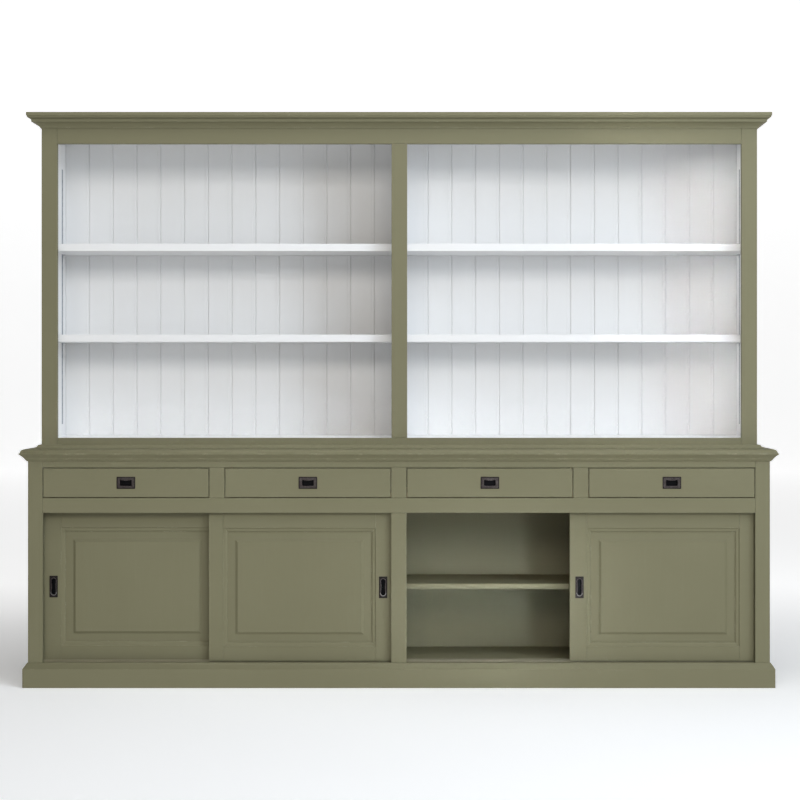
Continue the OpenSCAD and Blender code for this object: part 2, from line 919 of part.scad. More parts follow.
// A point of the ovolo of the moulded edge, which starts at x, at an angle from 0 to 90
function ovolo_point(x, a) =
    let (
        w = sticking_w - sticking_cove_w - sticking_flat_w - sticking_toe_w,
        top = sticking_quirk + sticking_cove_d
    )
    [x + w * sin(a), sticking_d - (sticking_d - top) * cos(a)];

// Section of a door frame member with its outer edge at 0, as width and depth from its face:
// a flat, a quirk, a cove, an ovolo, a toe and the groove for the panel
function member_section(w) = concat(
    [[0, 0], [w, 0]],
    [
        for (a = [0:15:90])
            [w + sticking_cove_w * (1 - cos(a)), sticking_quirk + sticking_cove_d * sin(a)]
    ],
    [for (a = [0:15:90]) ovolo_point(w + sticking_cove_w + sticking_flat_w, a)],
    [
        [w + sticking_w, sticking_d],
        [w + sticking_w, groove_front],
        [w + sticking_w - groove_d, groove_front],
        [w + sticking_w - groove_d, groove_front + panel_tongue_t + 2 * panel_fit],
        [w + sticking_w, groove_front + panel_tongue_t + 2 * panel_fit],
        [w + sticking_w, door_t],
        [0, door_t]
    ]
);

// Front view of a stile, with its moulded edge mitred at both rails
module stile_outline(w) {
    low = door_bottom_rail_h;
    high = door_h - door_top_rail_h;
    polygon([
        [0, 0], [w, 0], [w, low], [w + sticking_w, low + sticking_w],
        [w + sticking_w, high - sticking_w], [w, high],
        [w, door_h + top_tongue_h], [0, door_h + top_tongue_h]
    ]);
}

// Front view of a rail of height h between the stiles, with its moulded edge above
module rail_outline(h) {
    left = handle_stile_w;
    right = door_w - plain_stile_w;
    polygon([
        [left, 0], [right, 0], [right, h],
        [right - sticking_w, h + sticking_w], [left + sticking_w, h + sticking_w], [left, h]
    ]);
}

// A stile of width w at the left of a door, with its face at depth 0
module door_stile(w) {
    intersection() {
        linear_extrude(door_h + top_tongue_h) polygon(member_section(w));
        translate([0, door_t, 0]) rotate([90, 0, 0]) linear_extrude(door_t) stile_outline(w);
    }
}

// A rail of height h at the foot of a door
module door_rail(h) {
    intersection() {
        rotate([90, 0, 90]) linear_extrude(door_w)
            polygon([for (q = member_section(h)) [q[1], q[0]]]);
        translate([0, door_t, 0]) rotate([90, 0, 0]) linear_extrude(door_t) rail_outline(h);
    }
}

// The hairline of one joint: up the shoulder of the rail and out along the mitre.
// The rail is h high, and x is the edge of the stile at its left.
module joint_cut(x, h) {
    translate([0, joint_cut_d, 0]) rotate([90, 0, 0]) linear_extrude(joint_cut_d + cut) polygon([
        [x, -cut], [x + joint_line, -cut], [x + joint_line, h],
        [x + joint_line + sticking_w, h + sticking_w], [x + sticking_w, h + sticking_w], [x, h]
    ]);
}

// The hairlines of all four joints of a door frame
module joint_cuts() {
    for (m = [0, 1])
        translate([m * door_w, 0, 0]) mirror([m, 0, 0]) {
            x = m == 0 ? handle_stile_w : plain_stile_w;
            joint_cut(x, door_bottom_rail_h);
            translate([0, 0, door_h]) mirror([0, 0, 1]) joint_cut(x, door_top_rail_h);
        }
}

// What is cut away along a door: a groove over the rib, and both sides of the top tongue
module door_edge_cuts() {
    groove_w = rib_w + 2 * run_gap;
    groove_h = rib_h - door_floor_gap + seat_gap;
    cheek = (door_t - top_tongue_t) / 2;
    translate([-cut, (door_t - groove_w) / 2, -cut])
        cube([door_w + 2 * cut, groove_w, groove_h + cut]);
    for (y = [-cut, door_t - cheek])
        translate([-cut, y, door_h])
            cube([door_w + 2 * cut, cheek + cut, top_tongue_h + cut]);
}

// Points of a tall mouth with round ends and a slight waist, grown by g all round
function mouth_outline(g) =
    let (r = door_mouth_w / 2, side_l = door_mouth_h / 2 - r)
    [
        for (s = [1, -1])
            for (q = concat(
                [for (i = [-4:4]) [
                    r + g - mouth_waist * (1 - pow(i / 4, 2)),
                    i * side_l / 4
                ]],
                [for (a = [18:18:162]) [(r + g) * cos(a), side_l + (r + g) * sin(a)]]
            ))
                [s * q[0], s * q[1]]
    ];

// Moves a door's own frame to its place. It is drawn with its pull at the left.
module place_door(i) {
    d = DOORS[i];
    translate([d[0] + (d[1] > 0 ? door_w : 0), face_y + d[2], door_z])
        mirror([d[1] > 0 ? 1 : 0, 0, 0]) children();
}

// The pull's own frame: its middle at the origin, its height along Y and its front at +Z
module at_door_pull() {
    translate([door_pull_inset, 0, door_mid]) rotate([90, 0, 0]) children();
}

module door_frame(i) {
    mortise_d = pull_cup_d + seat_gap;
    color(GREEN) place_door(i) difference() {
        union() {
            door_stile(handle_stile_w);
            translate([door_w, 0, 0]) mirror([1, 0, 0]) door_stile(plain_stile_w);
            door_rail(door_bottom_rail_h);
            translate([0, 0, door_h]) mirror([0, 0, 1]) door_rail(door_top_rail_h);
            top_tongue();
        }
        door_edge_cuts();
        joint_cuts();
        at_door_pull() translate([0, 0, -mortise_d])
            linear_extrude(mortise_d + cut) polygon(mouth_outline(pull_wall + panel_fit));
    }
}

// The length of the top tongue that stands on the top rail
module top_tongue() {
    translate([handle_stile_w, (door_t - top_tongue_t) / 2, door_h - door_top_rail_h / 2])
        cube([
            door_w - handle_stile_w - plain_stile_w,
            top_tongue_t,
            top_tongue_h + door_top_rail_h / 2
        ]);
}

// Half section of the raised panel, from its middle to the end of its tongue:
// how far out, and how far back from the face of the door
function panel_section(half) =
    let (
        out = half + panel_tongue_d,
        margin = half - panel_margin_w,
        field = margin - panel_step_w
    )
    [
        [-out, panel_tongue_y + panel_tongue_t], [-out, panel_tongue_y], [-half, panel_tongue_y],
        [-margin, panel_margin_y], [-field - 1, field_recess + 1], [-field, field_recess],
        [field, field_recess], [field + 1, field_recess + 1], [margin, panel_margin_y],
        [half, panel_tongue_y], [out, panel_tongue_y], [out, panel_tongue_y + panel_tongue_t]
    ];

// The raised panel is where its upright and its level sections agree, which mitres its corners.
module door_panel(i) {
    half_x = (door_w - handle_stile_w - plain_stile_w) / 2 - sticking_w;
    half_z = (door_h - door_bottom_rail_h - door_top_rail_h) / 2 - sticking_w;
    out_x = half_x + panel_tongue_d;
    out_z = half_z + panel_tongue_d;
    mid_x = handle_stile_w + sticking_w + half_x;
    color(GREEN) place_door(i) translate([mid_x, 0, door_mid]) intersection() {
        translate([0, 0, -out_z]) linear_extrude(2 * out_z) polygon(panel_section(half_x));
        translate([-out_x, 0, 0]) rotate([90, 0, 90]) linear_extrude(2 * out_x)
            polygon([for (q = panel_section(half_z)) [q[1], q[0]]]);
    }
}

// A flush pull: a plate with a raised rim round its mouth, and a cup let into the stile
module door_pull(i) {
    rim_w = 2.6;
    color(BRONZE) place_door(i) at_door_pull() difference() {
        union() {
            linear_extrude(pull_plate_t) polygon(round_rect(door_pull_w, door_pull_h, 2));
            linear_extrude(pull_plate_t + pull_rim_t) polygon(mouth_outline(rim_w));
            translate([0, 0, -pull_cup_d]) linear_extrude(pull_cup_d + pull_plate_t)
                polygon(mouth_outline(pull_wall));
        }
        translate([0, 0, pull_wall - pull_cup_d])
            linear_extrude(pull_cup_d + 2 * pull_plate_t + pull_rim_t) polygon(mouth_outline(0));
    }
}

// Moves a drawer's own frame to its place: its middle at X, its front's face at depth 0
// and the floor of its opening at height 0
module place_drawer(i) {
    translate([DRAWER_X[i], face_y, deck_z]) children();
}

// The pull's own frame: its middle at the origin, its height along Y and its front at +Z
module at_drawer_pull() {
    translate([0, 0, drawer_opening_h / 2]) rotate([90, 0, 0]) children();
}

// The cup behind the plate of a drawer pull, grown by g all round
module cup_outline(g) {
    h = drawer_mouth_h + lip_undercut;
    translate([0, lip_undercut / 2])
        polygon(round_rect(drawer_mouth_w + 2 * g, h + 2 * g, 5 + g));
}

// The mouth in the plate, whose upper lip droops in the middle
module drawer_mouth() {
    w = drawer_mouth_w / 2;
    h = drawer_mouth_h / 2;
    r = 4;
    polygon(concat(
        [for (i = [8:-1:-8]) [i * w / 8, h - lip_droop * (1 - pow(i / 8, 2))]],
        [for (a = [180:22.5:270]) [-w + r + r * cos(a), -h + r + r * sin(a)]],
        [for (a = [270:22.5:360]) [w - r + r * cos(a), -h + r + r * sin(a)]]
    ));
}

module drawer_front(i) {
    mortise_d = pull_cup_d + seat_gap;
    color(GREEN) place_drawer(i) difference() {
        translate([-drawer_front_w / 2, 0, drawer_gap])
            cube([drawer_front_w, drawer_front_t, drawer_front_h]);
        at_drawer_pull() translate([0, 0, -mortise_d])
            linear_extrude(mortise_d + cut) cup_outline(pull_wall + panel_fit);
    }
}

// Two sides, a back and a bottom held between them
module drawer_box(i) {
    half = drawer_box_w / 2;
    inner = half - drawer_side_t;
    y = [drawer_front_t, drawer_front_t + drawer_box_l];
    z = [seat_gap, seat_gap + drawer_box_h];
    bottom_z = seat_gap + drawer_bottom_up;
    translate([DRAWER_X[i], 0, deck_z]) color(PLAIN_WOOD) {
        both_ends() board([inner, half], y, z);
        board([-inner, inner], [y[1] - drawer_side_t, y[1]], z);
        board([-inner, inner], [y[0], y[1] - drawer_side_t], [bottom_z, bottom_z + drawer_bottom_t]);
    }
}

// A flush cup pull: a flange, a raised plate with the mouth in it, and the cup behind
module drawer_pull(i) {
    flange = 4;
    color(BRONZE) place_drawer(i) at_drawer_pull() difference() {
        union() {
            linear_extrude(pull_plate_t) polygon(round_rect(drawer_pull_w, drawer_pull_h, 2));
            linear_extrude(pull_plate_t + pull_rim_t)
                polygon(round_rect(drawer_pull_w - 2 * flange, drawer_pull_h - 2 * flange, 3));
            translate([0, 0, -pull_cup_d]) linear_extrude(pull_cup_d + pull_plate_t)
                cup_outline(pull_wall);
        }
        translate([0, 0, pull_wall - pull_cup_d]) linear_extrude(pull_cup_d - pull_wall) cup_outline(0);
        translate([0, 0, -cut]) linear_extrude(2 * cut + pull_plate_t + pull_rim_t) drawer_mouth();
    }
}

plinth_front();
plinth_ends();
plinth_bearers();
base_side_left();
base_side_right();
base_divider();
drawer_partitions();
base_floor();
drawer_deck();
base_back();
base_stiles();
base_rails();
drawer_mullions();
base_shelves();
base_shelf_pins();
door_guides_upper();
door_tracks_lower();
drawer_guides();
base_top();
base_top_cove();
hutch_side_left();
hutch_side_right();
hutch_divider();
hutch_floor();
hutch_top();
hutch_stiles();
hutch_top_rail();
hutch_bottom_rail();
cornice();
foot_moulding();
back_boards(-hutch_in);  // back_boards_left
back_boards(wall_in);  // back_boards_right
hutch_shelves();
shelf_standards();
shelf_clips();
joining_screws();
for (i = [0:3]) {
    door_frame(i);
    door_panel(i);
    door_pull(i);
    drawer_front(i);
    drawer_box(i);
    drawer_pull(i);
}
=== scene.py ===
"""Looks of the display cabinet: paints, metals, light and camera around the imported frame."""

import math

import bpy
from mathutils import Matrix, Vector


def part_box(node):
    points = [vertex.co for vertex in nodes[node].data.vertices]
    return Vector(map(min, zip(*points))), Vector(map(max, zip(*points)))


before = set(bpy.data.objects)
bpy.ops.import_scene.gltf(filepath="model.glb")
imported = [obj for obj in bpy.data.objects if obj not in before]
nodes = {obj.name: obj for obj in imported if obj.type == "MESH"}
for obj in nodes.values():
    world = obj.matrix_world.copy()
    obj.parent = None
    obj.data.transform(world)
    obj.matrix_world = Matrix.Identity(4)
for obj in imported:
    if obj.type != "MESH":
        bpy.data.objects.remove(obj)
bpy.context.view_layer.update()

# Colours, as linear values
GREEN = (0.173, 0.163, 0.096)
GREEN_PALE = (0.193, 0.183, 0.111)
GREEN_DEEP = (0.148, 0.139, 0.080)
GREEN_PRIMER = (0.47, 0.44, 0.33)
WHITE = (0.79, 0.79, 0.79)
WHITE_PALE = (0.82, 0.825, 0.83)
WHITE_WARM = (0.75, 0.745, 0.73)
WHITE_PRIMER = (0.60, 0.56, 0.48)
BRONZE = (0.054, 0.045, 0.044)
BRONZE_WORN = (0.14, 0.123, 0.118)
# Darker colour for the flange of a pull
BRONZE_FLANGE_DARKER = (0.026, 0.022, 0.021)
# A painted highlight for the foot of the door pulls' rims
BRONZE_PAINTED_HIGHLIGHT = (0.30, 0.285, 0.28)
# The cup of a pull: dark patina, with painted shade deeper in
BRONZE_CUP_PATINA_AND_SHADE = (0.004, 0.004, 0.005)
STEEL = (0.42, 0.44, 0.47)
STEEL_DULL = (0.25, 0.27, 0.30)
PINE = (0.52, 0.36, 0.20)
PINE_DARK = (0.34, 0.20, 0.09)
WAXED = (0.135, 0.125, 0.078)
WAXED_WORN = (0.24, 0.21, 0.13)
STUDIO_GREY = (0.84, 0.84, 0.84)
STUDIO_PALE = (0.88, 0.88, 0.88)

# The shelves get painted shade, a little darker than the boards; the hutch's walls and floor get
# painted light, a little paler
SHELF_PAINTED_SHADE = 0.94
WALL_PAINTED_LIGHT = 1.14

# Patterns of noise: how often they repeat in a metre, their detail and their roughness
PAINT_MARKS = (420.0, 3.0, 0.6)
PAINT_GRAIN = (70.0, 5.0, 0.6)
PAINT_CLOUD = (3.1, 4.0, 0.55)
WALL_CLOUD = (5.0, 4.0, 0.5)
WOOD_FIBRES = (320.0, 3.0, 0.65)
WOOD_BANDS = (26.0, 5.0, 0.6)
WOOD_CLOUD = (2.3, 3.0, 0.5)
STUDIO_CLOUD = (0.7, 3.0, 0.5)
# Detail and roughness of the noise for worn patches, and for the blotches and fine grain of metal
PATCH_NOISE = (4.0, 0.62)
BLOTCH_NOISE = (4.0, 0.6)
FINE_NOISE = (3.0, 0.6)
# Repeats of the blotches on metal and of the worn patches on paint, and how much finer the fine
# grain of metal is than its blotches
BRONZE_REPEATS = 90.0
ZINC_REPEATS = 60.0
PATCH_REPEATS = 23.0
METAL_FINE = 9.0
# Grain and brush marks are drawn out twenty times along their axis
LONG = 0.05
STRETCH = {"X": (LONG, 1, 1), "Y": (1, LONG, 1), "Z": (1, 1, LONG)}

# What a pattern does to a colour: where on the noise it starts and is full, and its share at most
CLOUD_TONE = ((0.30, 0.70), 1.0)
GRAIN_PALER = ((0.52, 0.75), 0.16)
MARKS_DEEPER = ((0.50, 0.78), 0.14)
BANDS_DARKER = ((0.38, 0.72), 1.0)
FIBRES_DARKER = ((0.5, 0.8), 0.35)
CLOUD_LIGHTER = ((0.35, 0.7), 0.25)
BLOTCH_WORN = ((0.42, 0.72), 0.45)
# The share of the plain colour in a paint, and how bare a rubbed edge is
PLAIN_PAINT = 0.80
PLAIN_WALL = 0.7
BARE_PAINT = 0.75
BARE_METAL = 0.85
# Roughness of each finish, and how much rougher the finest marks make it
GREEN_ROUGH = 0.56
WHITE_ROUGH = 0.58
WOOD_ROUGH = 0.6
WAXED_ROUGH = 0.42
BRONZE_ROUGH = 0.36
ZINC_ROUGH = 0.42
FINE_ROUGH = 0.10
# How far that roughness varies with the clouds, bands or blotches
PAINT_UNEVEN = 0.16
WOOD_UNEVEN = 0.14
METAL_UNEVEN = 0.22
# How much the paints shine beside their colour, and how metallic the metals are
PAINT_SPECULAR = 0.2
METALLIC = 0.9
# Amount of wear on the edges
GREEN_WEAR = 0.1
WHITE_WEAR = 0.02
BRONZE_WEAR = 0.32
ZINC_WEAR = 0.1
# An edge is where the rounded normal turns this far from the flat one (1 less their dot product).
# It is worn where the noise is over the patch's values, less the amount of wear.
EDGE_TURN = (0.02, 0.16)
PATCH_START = 0.63
PATCH_FULL = 0.80
# Samples of that rounding, and the radius of the rubbed edges in metres
EDGE_SAMPLES = 4
PAINT_RUB = 0.0022
METAL_RUB = 0.0012
# Height of the brush marks against the grain lines, and the bumps' strength and depth in metres
MARKS_HEIGHT = 0.5
PAINT_BUMP = (0.22, 0.0006)
WOOD_BUMP = (0.25, 0.0005)
METAL_BUMP = (0.3, 0.0003)

# Of a pull, in metres: the plate with its raised rim, how far down the rim it starts to darken and is
# dark, how far into the cup its dark patina and painted shade deepen, and the height in which the
# painted highlight at the foot of the rim fades
PULL_PLATE = 0.0024
PULL_DARKENS = 0.0003
PULL_DARKER = 0.0008
PULL_CUP = 0.003
PULL_HIGHLIGHT_FADE = 0.004
# The share of a door pull's height that carries a painted highlight, and how strong it is
PULL_HIGHLIGHT_SHARE = 0.27
PULL_HIGHLIGHT_STRENGTH = 0.7

# The softened edges: width in metres, steps and least angle, and how near two points are to be joined
SOFT_WOOD = 0.0011
SOFT_METAL = 0.0005
SOFT_STEPS = 2
SOFT_ANGLE = math.radians(38)
SAME_POINT = 0.00001
# How far past its limit a colour reaches, so that a face that lies in the limit has it
HAIR = 0.0005


def plug(tree, socket, value):
    """Gives a socket a value, or another node's output."""
    if isinstance(value, bpy.types.NodeSocket):
        tree.links.new(value, socket)
    else:
        socket.default_value = value


def add(tree, kind, inputs=None, **settings):
    """Adds a shader node. An input is a value or another node's output."""
    n = tree.nodes.new("ShaderNode" + kind)
    for key, value in settings.items():
        setattr(n, key, value)
    for key, value in (inputs or {}).items():
        plug(tree, n.inputs[key], value)
    return n


# The sockets of the Mix node that are for colours
MIX_A = 6
MIX_B = 7
MIX_RESULT = 2


def blend(tree, share, a, b):
    """A colour between a and b, each a colour or a socket."""
    n = add(tree, "Mix", data_type="RGBA")
    for index, value in ((0, share), (MIX_A, a), (MIX_B, b)):
        plug(tree, n.inputs[index], (*value, 1.0) if isinstance(value, tuple) else value)
    return n.outputs[MIX_RESULT]


def maths(tree, operation, a, b=0.0, c=0.0):
    return add(tree, "Math", {0: a, 1: b, 2: c}, operation=operation).outputs[0]


def times(tree, a, b):
    return maths(tree, "MULTIPLY", a, b)


def step_up(tree, value, ramp):
    """0 where the value is short of the ramp's start, 1 where it is past its end."""
    low, high = ramp
    n = add(tree, "MapRange", {"Value": value, "From Min": low, "From Max": high}, clamp=True)
    return n.outputs[0]


def tint(tree, base, colour, pattern, ramp, share=1.0):
    """Lays a colour over the base as the pattern goes up the ramp, to the share of it at most."""
    return blend(tree, times(tree, step_up(tree, pattern, ramp), share), base, colour)


def vary(tree, value, pattern, spread):
    """A value that follows the pattern, half the spread up and half of it down."""
    return maths(tree, "MULTIPLY_ADD", pattern, spread, value - spread / 2)


def noise(tree, vector, pattern, stretch=(1, 1, 1)):
    """Noise from 0 to 1. A small stretch along an axis draws it out along that axis."""
    repeats, detail, rough = pattern
    moved = add(tree, "Mapping", {"Vector": vector, "Scale": stretch})
    n = add(tree, "TexNoise", {
        "Vector": moved.outputs[0], "Scale": repeats, "Detail": detail, "Roughness": rough})
    return n.outputs["Fac"]


def new_material(name):
    m = bpy.data.materials.new(name)
    m.use_nodes = True
    tree = m.node_tree
    tree.nodes.clear()
    shader = add(tree, "BsdfPrincipled")
    out = add(tree, "OutputMaterial")
    tree.links.new(shader.outputs[0], out.inputs[0])
    coords = add(tree, "TexCoord").outputs["Object"]
    return m, tree, shader, coords


def surface(tree, shader, colour, rough, height, bump):
    """Gives a shader its colour, its roughness and its bumps."""
    strength, depth = bump
    plug(tree, shader.inputs["Base Color"], colour)
    plug(tree, shader.inputs["Roughness"], rough)
    bumps = add(tree, "Bump", {"Height": height, "Strength": strength, "Distance": depth})
    plug(tree, shader.inputs["Normal"], bumps.outputs[0])


def edge_wear(tree, coords, radius, amount, repeats):
    """1 on sharp outer edges where the finish has rubbed through, in patches."""
    rounded = add(tree, "Bevel", {"Radius": radius}, samples=EDGE_SAMPLES).outputs[0]
    flat = add(tree, "NewGeometry").outputs["Normal"]
    turn = add(tree, "VectorMath", {0: rounded, 1: flat}, operation="DOT_PRODUCT").outputs["Value"]
    edge = step_up(tree, maths(tree, "SUBTRACT", 1.0, turn), EDGE_TURN)
    patches = step_up(tree, noise(tree, coords, (repeats, *PATCH_NOISE)),
                      (PATCH_START - amount, PATCH_FULL - amount))
    return times(tree, edge, patches)


def paint(name, colour, pale, deep, primer, grain, wear, rough):
    """Brushed paint over wood, with brush marks along the grain and worn edges."""
    m, tree, shader, coords = new_material(name)
    marks = noise(tree, coords, PAINT_MARKS, STRETCH[grain])
    cloud = noise(tree, coords, PAINT_CLOUD)
    lines = noise(tree, coords, PAINT_GRAIN, STRETCH[grain])
    base = tint(tree, deep, pale, cloud, *CLOUD_TONE)
    base = blend(tree, PLAIN_PAINT, base, colour)
    base = tint(tree, base, pale, lines, *GRAIN_PALER)
    base = tint(tree, base, deep, marks, *MARKS_DEEPER)
    rubbed = edge_wear(tree, coords, PAINT_RUB, wear, PATCH_REPEATS)
    base = blend(tree, times(tree, rubbed, BARE_PAINT), base, primer)
    rough = vary(tree, rough, cloud, PAINT_UNEVEN)
    rough = maths(tree, "MULTIPLY_ADD", marks, FINE_ROUGH, rough)
    height = maths(tree, "MULTIPLY_ADD", marks, MARKS_HEIGHT, lines)
    surface(tree, shader, base, rough, height, PAINT_BUMP)
    shader.inputs["Specular IOR Level"].default_value = PAINT_SPECULAR
    return m, tree, shader, coords


def green(name, grain):
    return paint(name, GREEN, GREEN_PALE, GREEN_DEEP, GREEN_PRIMER, grain, GREEN_WEAR, GREEN_ROUGH)


def shade(colour, factor):
    return tuple(factor * channel for channel in colour)


def white(name, grain, factor=1.0):
    return paint(name, shade(WHITE, factor), shade(WHITE_PALE, factor), shade(WHITE_WARM, factor),
                 WHITE_PRIMER, grain, WHITE_WEAR, WHITE_ROUGH)


def two_tone(name, axis, limit):
    """White on the faces within the limit along an axis, and green paint beyond it."""
    m, tree, shader, coords = green(name, "Z")
    outer = shader.inputs["Base Color"].links[0].from_socket
    place = add(tree, "SeparateXYZ", {"Vector": coords}).outputs[axis]
    inside = maths(tree, "LESS_THAN", maths(tree, "ABSOLUTE", place), limit)
    cloud = noise(tree, coords, WALL_CLOUD)
    # Inside the hutch the white is made paler: painted light
    inner = tint(tree, shade(WHITE_WARM, WALL_PAINTED_LIGHT), shade(WHITE_PALE, WALL_PAINTED_LIGHT), cloud,
                 *CLOUD_TONE)
    inner = blend(tree, PLAIN_WALL, inner, shade(WHITE, WALL_PAINTED_LIGHT))
    plug(tree, shader.inputs["Base Color"], blend(tree, inside, outer, inner))
    return m


def wood(name, light, dark, grain, rough):
    """Plain sealed wood with long grain."""
    m, tree, shader, coords = new_material(name)
    bands = noise(tree, coords, WOOD_BANDS, STRETCH[grain])
    fibres = noise(tree, coords, WOOD_FIBRES, STRETCH[grain])
    cloud = noise(tree, coords, WOOD_CLOUD)
    base = tint(tree, light, dark, bands, *BANDS_DARKER)
    base = tint(tree, base, dark, fibres, *FIBRES_DARKER)
    base = tint(tree, base, light, cloud, *CLOUD_LIGHTER)
    rough = vary(tree, rough, bands, WOOD_UNEVEN)
    surface(tree, shader, base, rough, fibres, WOOD_BUMP)
    return m


def metal(name, colour, worn, wear, rough, repeats, pull=None):
    """Metal with a dull patina and rubbed edges. A pull is given as the Y of its raised rim and the
    Z under which its rim has a painted highlight. Its flange is darker, and its cup has dark patina
    with painted shade that deepens towards the bottom."""
    m, tree, shader, coords = new_material(name)
    blotch = noise(tree, coords, (repeats, *BLOTCH_NOISE))
    fine = noise(tree, coords, (repeats * METAL_FINE, *FINE_NOISE))
    base = tint(tree, colour, worn, blotch, *BLOTCH_WORN)
    rubbed = edge_wear(tree, coords, METAL_RUB, wear, repeats)
    base = blend(tree, times(tree, rubbed, BARE_METAL), base, worn)
    if pull:
        rim_y, highlight_z = pull
        foot = (highlight_z, highlight_z - PULL_HIGHLIGHT_FADE)
        flange = (rim_y + PULL_DARKENS, rim_y + PULL_DARKER)
        cup = (rim_y + PULL_PLATE - PULL_DARKENS, rim_y + PULL_PLATE + PULL_CUP)
        place = add(tree, "SeparateXYZ", {"Vector": coords}).outputs
        # Painted highlight: the foot of a door pull's rim is made bright
        base = tint(tree, base, BRONZE_PAINTED_HIGHLIGHT, place["Z"], foot, PULL_HIGHLIGHT_STRENGTH)
        # The flange is darker
        base = tint(tree, base, BRONZE_FLANGE_DARKER, place["Y"], flange)
        # Dark patina and painted shade in the cup, darker the deeper it goes
        base = tint(tree, base, BRONZE_CUP_PATINA_AND_SHADE, place["Y"], cup)
    rough = vary(tree, rough, blotch, METAL_UNEVEN)
    rough = maths(tree, "MULTIPLY_ADD", fine, FINE_ROUGH, rough)
    surface(tree, shader, base, rough, fine, METAL_BUMP)
    shader.inputs["Metallic"].default_value = METALLIC
    return m


GREEN_X = green("green_paint_x", "X")[0]
GREEN_Y = green("green_paint_y", "Y")[0]
GREEN_Z = green("green_paint_z", "Z")[0]
BOARDS = white("white_paint_boards", "Z")[0]
# The shelves' white is darkened: painted shade
SHELVES = white("white_paint_shelves_painted_shade", "X", SHELF_PAINTED_SHADE)[0]
# The hutch floor's white is made paler: painted light
FLOOR = white("white_paint_floor_painted_light", "X", WALL_PAINTED_LIGHT)[0]
PLAIN_X = wood("plain_wood_x", PINE, PINE_DARK, "X", WOOD_ROUGH)
PLAIN_Y = wood("plain_wood_y", PINE, PINE_DARK, "Y", WOOD_ROUGH)
RIBS = wood("waxed_wood", WAXED, WAXED_WORN, "X", WAXED_ROUGH)
ZINC = metal("steel", STEEL, STEEL_DULL, ZINC_WEAR, ZINC_ROUGH, ZINC_REPEATS)

PULLS = {}
for name in nodes:
    if name.endswith("_pull"):
        low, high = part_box(name)
        width = high[0] - low[0]
        height = high[2] - low[2]
        # Only the tall pulls of the doors get a painted highlight, at the foot of their rims
        highlight_z = low[2] + PULL_HIGHLIGHT_SHARE * height if height > width else low[2]
        PULLS[name] = metal(name.replace("_pull", "_bronze"), BRONZE, BRONZE_WORN, BRONZE_WEAR,
                            BRONZE_ROUGH, BRONZE_REPEATS, (low[1], highlight_z))

# The inner faces of the hutch are white: within its side walls, and under its top
wall_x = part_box("shelf_clips")[1][0]
top_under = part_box("hutch_top")[0][2]
SIDES = two_tone("hutch_side_paint", "X", wall_x + HAIR)
LID = two_tone("hutch_top_paint", "Z", top_under + HAIR)

LOOKS = {
    "plinth_front": GREEN_X, "plinth_ends": GREEN_Y, "plinth_bearers": PLAIN_Y,
    "base_side_left": GREEN_Z, "base_side_right": GREEN_Z, "base_divider": GREEN_Z,
    "drawer_partitions": PLAIN_Y, "base_floor": GREEN_X, "drawer_deck": PLAIN_X,
    "base_back": GREEN_X, "base_stiles": GREEN_Z, "base_rails": GREEN_X,
    "drawer_mullions": GREEN_Z, "base_shelves": GREEN_X, "base_shelf_pins": ZINC,
    "door_guides_upper": GREEN_X, "door_tracks_lower": RIBS, "drawer_guides": PLAIN_Y,
    "base_top": GREEN_X, "base_top_cove": GREEN_X, "hutch_side_left": SIDES,
    "hutch_side_right": SIDES, "hutch_divider": BOARDS, "hutch_floor": FLOOR,
    "hutch_top": LID, "hutch_stiles": GREEN_Z, "hutch_top_rail": GREEN_X,
    "hutch_bottom_rail": GREEN_X, "cornice": GREEN_X, "foot_moulding": GREEN_X,
    "back_boards_left": BOARDS, "back_boards_right": BOARDS, "hutch_shelves": SHELVES,
    "shelf_standards": ZINC, "shelf_clips": ZINC, "joining_screws": ZINC,
}
for i in range(1, 5):
    LOOKS[f"door_{i}_frame"] = GREEN_X
    LOOKS[f"door_{i}_panel"] = GREEN_Z
    LOOKS[f"drawer_{i}_front"] = GREEN_X
    LOOKS[f"drawer_{i}_box"] = PLAIN_Y
LOOKS.update(PULLS)

# The faces are joined first, so that every edge between two of them can be softened
for name, obj in nodes.items():
    obj.data.materials.clear()
    obj.data.materials.append(LOOKS[name])
    joined = obj.modifiers.new("joined_faces", "WELD")
    joined.merge_threshold = SAME_POINT
    soft = obj.modifiers.new("soft_edges", "BEVEL")
    soft.width = SOFT_METAL if name in PULLS or LOOKS[name] == ZINC else SOFT_WOOD
    soft.segments = SOFT_STEPS
    soft.limit_method = "ANGLE"
    soft.angle_limit = SOFT_ANGLE
    soft.use_clamp_overlap = True

# The studio floor, in metres: half its width, its front edge, the backdrop's place and height, and
# the radius and the steps of the curve between floor and backdrop
STUDIO_HALF_W = 22.0
STUDIO_FRONT = -14.0
BACKDROP_Y = 22.0
BACKDROP_HEIGHT = 12.0
CURVE_RADIUS = 5.0
CURVE_STEPS = 12
STUDIO_ROUGH = 0.9
STUDIO_SPECULAR = 0.1

# The floor glows a little by the cabinet and more far from it, so that all of it comes out white.
# Each glow grows from its first Y to its second.
GLOW_NEAR = 0.27
GLOW_FAR = 0.72
GLOW_NEAR_Y = (-3.6, -2.2)
GLOW_BACK_Y = (0.3, 3.5)
GLOW_FRONT_Y = (-4.5, -10.0)


